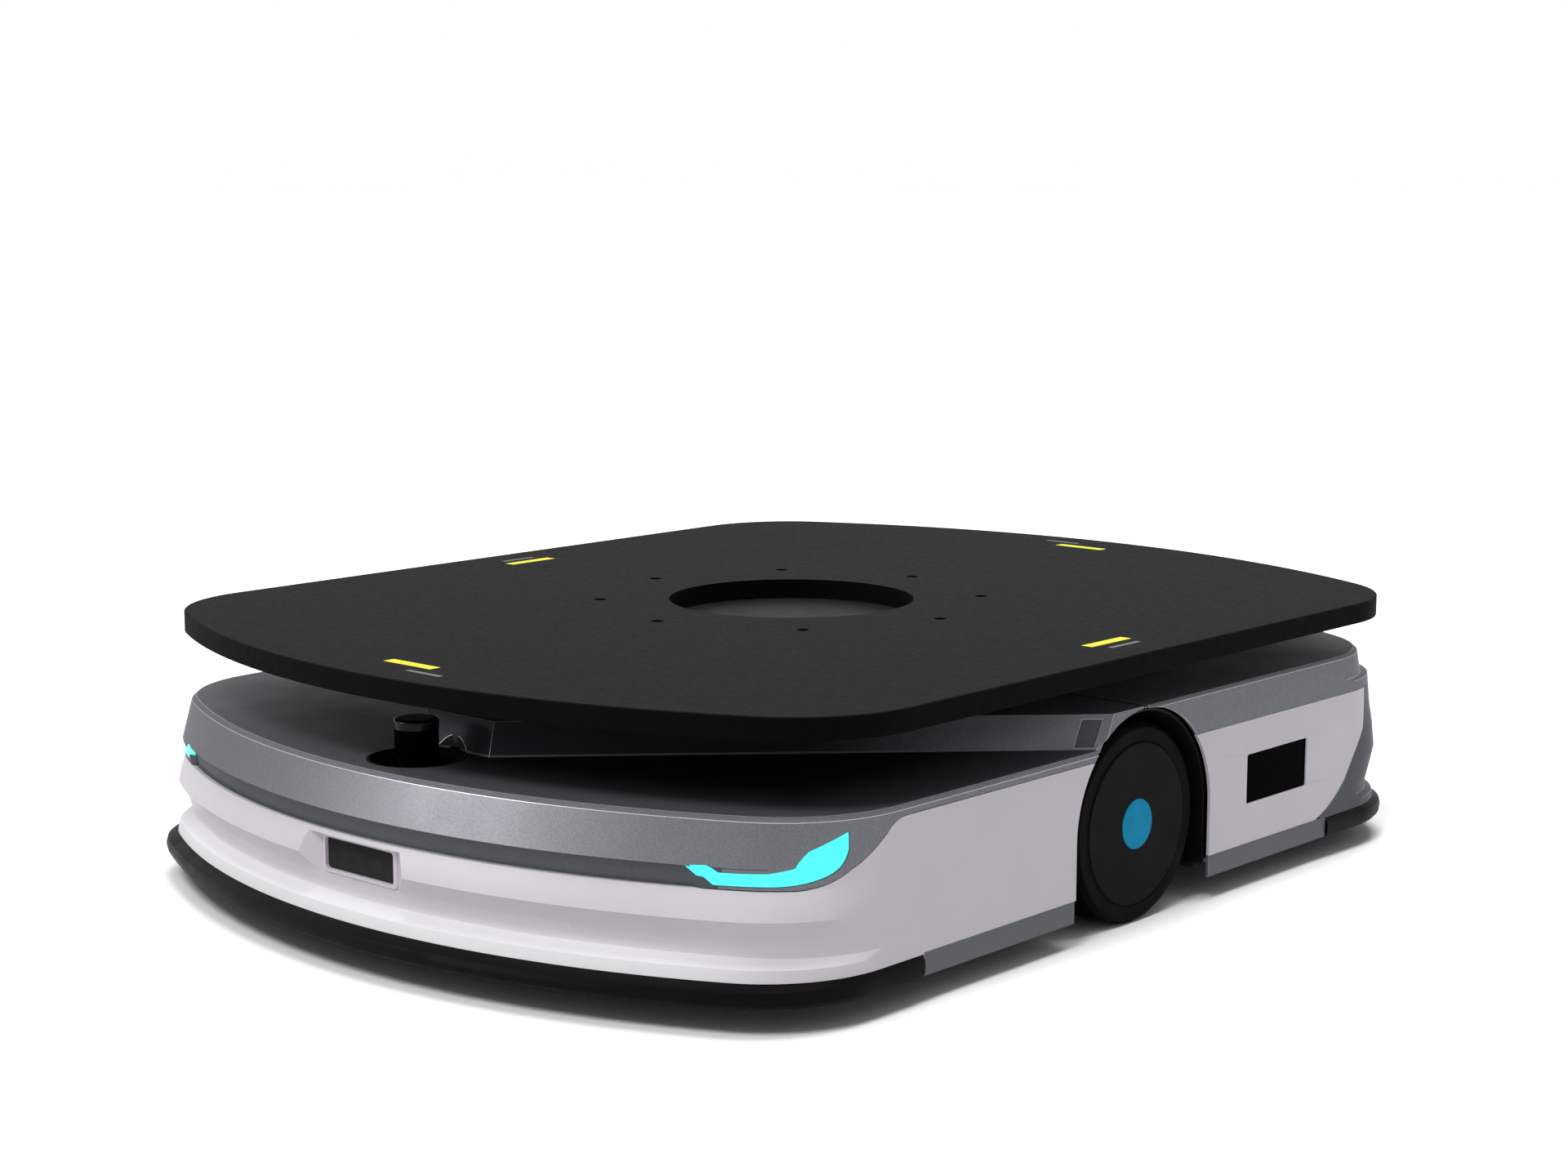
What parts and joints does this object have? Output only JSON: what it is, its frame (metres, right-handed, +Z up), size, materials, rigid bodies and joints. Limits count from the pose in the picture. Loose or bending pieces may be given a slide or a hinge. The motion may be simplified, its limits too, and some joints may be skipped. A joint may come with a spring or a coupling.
{
  "type": "autonomous mobile robot",
  "caption": "Low wheeled robot that drives under a load, lifts it on a flat black deck and turns it, with sprung drive wheels and swivel casters.",
  "frame": {"origin": "on the floor, midway between the drive wheels", "axes": "+X forward, +Y to the robot's left, +Z up"},
  "size_m": [1.064, 0.8, 0.232],
  "materials": {
    "white_cover": "satin",
    "silver_cover": "metallic satin paint",
    "grey_cover": "metallic satin paint",
    "sill_paint": "satin",
    "dark_trim": "satin",
    "black_trim": "satin",
    "dark_window": "gloss",
    "corner_light": "lit",
    "bumper_rubber": "matt",
    "chassis_steel": "powder coat",
    "zinc_steel": "zinc",
    "caster_tread": "matt",
    "case_aluminium": "anodised",
    "ground_steel": "ground",
    "bronze": "turned",
    "drive_black": "satin",
    "carriage_black": "black anodised",
    "deck_black": "fine black powder coat",
    "marker_yellow": "satin",
    "hub_black": "satin",
    "tyre_black": "matt",
    "cap_blue": "satin"
  },
  "bodies": {
    "chassis": {"front_lower_cover": "white_cover", "front_upper_cover": "silver_cover", "flank_inserts": "dark_trim", "light_band": "dark_trim", "light_lenses": "corner_light", "camera_window": "dark_window", "camera_module": "case_aluminium", "scanner_pocket": "black_trim", "scanner_body": "black_trim", "scanner_window": "dark_window", "rear_side_panels": "white_cover", "side_windows": "dark_window", "sills": "sill_paint", "rear_lower_cover": "grey_cover", "rear_upper_cover": "silver_cover", "front_bumper": "bumper_rubber", "rear_bumper": "bumper_rubber", "base_plate": "chassis_steel", "caster_brackets": "chassis_steel", "caster_head_plates": "zinc_steel", "cover_posts": "chassis_steel", "wheel_arch_liners": "black_trim", "battery_pack": "case_aluminium", "controller_box": "case_aluminium", "motor_drives": "case_aluminium", "suspension_pivots": "chassis_steel", "guide_posts": "ground_steel", "lift_jacks": "drive_black", "cover_joints": "black_trim"},
    "lift": {"lift_carriage": "carriage_black", "lift_drum": "carriage_black", "lift_nuts": "bronze", "turn_motor": "drive_black", "slew_outer_ring": "ground_steel"},
    "deck": {"deck_plate": "deck_black", "deck_flange": "carriage_black", "deck_screws": "zinc_steel", "slew_ring_gear": "ground_steel", "deck_edge_markers": "marker_yellow"},
    "turn_drive": {"turn_pinion": "ground_steel"},
    "front_screw": {"lift_screw_front": "ground_steel"},
    "rear_screw": {"lift_screw_rear": "ground_steel"},
    "left_arm": {"left_swing_arm": "carriage_black", "left_gearmotor": "drive_black"},
    "left_wheel": {"left_wheel_hub": "hub_black", "left_tyre": "tyre_black", "left_hub_cap": "cap_blue"},
    "front_left_fork": {"front_left_caster_fork": "zinc_steel"},
    "front_left_caster": {"front_left_caster_wheel": "caster_tread"},
    "rear_left_fork": {"rear_left_caster_fork": "zinc_steel"},
    "rear_left_caster": {"rear_left_caster_wheel": "caster_tread"},
    "right_arm": {"right_swing_arm": "carriage_black", "right_gearmotor": "drive_black"},
    "right_wheel": {"right_wheel_hub": "hub_black", "right_tyre": "tyre_black", "right_hub_cap": "cap_blue"},
    "front_right_fork": {"front_right_caster_fork": "zinc_steel"},
    "front_right_caster": {"front_right_caster_wheel": "caster_tread"},
    "rear_right_fork": {"rear_right_caster_fork": "zinc_steel"},
    "rear_right_caster": {"rear_right_caster_wheel": "caster_tread"}
  },
  "joints": [
    {"name": "deck_lift", "type": "slide", "parent": "chassis", "child": "lift", "axis": [0, 0, 1], "range_m": [0, 0.06]},
    {"name": "deck_turn", "type": "hinge", "parent": "lift", "child": "deck", "pos_m": [0, 0, 0.18], "axis": [0, 0, 1], "continuous": true},
    {"name": "pinion_turn", "type": "hinge", "parent": "lift", "child": "turn_drive", "pos_m": [0.1075, 0, 0.18], "axis": [0, 0, 1], "continuous": true},
    {"name": "front_screw_turn", "type": "hinge", "parent": "chassis", "child": "front_screw", "pos_m": [0.222, 0, 0.1], "axis": [0, 0, 1], "range_deg": [-1082, 0]},
    {"name": "rear_screw_turn", "type": "hinge", "parent": "chassis", "child": "rear_screw", "pos_m": [-0.222, 0, 0.1], "axis": [0, 0, 1], "range_deg": [-1082, 0]},
    {"name": "left_arm_swing", "type": "hinge", "parent": "chassis", "child": "left_arm", "pos_m": [0.118, 0.306, 0.066], "axis": [0, 1, 0], "range_deg": [-2.5, 2.5], "stiffness_Nm_per_rad": 1200},
    {"name": "left_wheel_roll", "type": "hinge", "parent": "left_arm", "child": "left_wheel", "pos_m": [0, 0.358, 0.084], "axis": [0, 1, 0], "continuous": true},
    {"name": "front_left_swivel", "type": "hinge", "parent": "chassis", "child": "front_left_fork", "pos_m": [0.33, 0.245, 0.09], "axis": [0, 0, 1], "continuous": true},
    {"name": "front_left_caster_roll", "type": "hinge", "parent": "front_left_fork", "child": "front_left_caster", "pos_m": [0.305, 0.245, 0.035], "axis": [0, 1, 0], "continuous": true},
    {"name": "rear_left_swivel", "type": "hinge", "parent": "chassis", "child": "rear_left_fork", "pos_m": [-0.33, 0.245, 0.09], "axis": [0, 0, 1], "continuous": true},
    {"name": "rear_left_caster_roll", "type": "hinge", "parent": "rear_left_fork", "child": "rear_left_caster", "pos_m": [-0.355, 0.245, 0.035], "axis": [0, 1, 0], "continuous": true},
    {"name": "right_arm_swing", "type": "hinge", "parent": "chassis", "child": "right_arm", "pos_m": [0.118, -0.306, 0.066], "axis": [0, 1, 0], "range_deg": [-2.5, 2.5], "stiffness_Nm_per_rad": 1200},
    {"name": "right_wheel_roll", "type": "hinge", "parent": "right_arm", "child": "right_wheel", "pos_m": [0, -0.358, 0.084], "axis": [0, 1, 0], "continuous": true},
    {"name": "front_right_swivel", "type": "hinge", "parent": "chassis", "child": "front_right_fork", "pos_m": [0.33, -0.245, 0.09], "axis": [0, 0, 1], "continuous": true},
    {"name": "front_right_caster_roll", "type": "hinge", "parent": "front_right_fork", "child": "front_right_caster", "pos_m": [0.305, -0.245, 0.035], "axis": [0, 1, 0], "continuous": true},
    {"name": "rear_right_swivel", "type": "hinge", "parent": "chassis", "child": "rear_right_fork", "pos_m": [-0.33, -0.245, 0.09], "axis": [0, 0, 1], "continuous": true},
    {"name": "rear_right_caster_roll", "type": "hinge", "parent": "rear_right_fork", "child": "rear_right_caster", "pos_m": [-0.355, -0.245, 0.035], "axis": [0, 1, 0], "continuous": true}
  ],
  "couplings": [
    {"joint": "pinion_turn", "follows": "deck_turn", "ratio": 3.5294},
    {"joint": "front_screw_turn", "follows": "deck_lift", "rad_per_m": -314.16},
    {"joint": "rear_screw_turn", "follows": "deck_lift", "rad_per_m": -314.16}
  ]
}
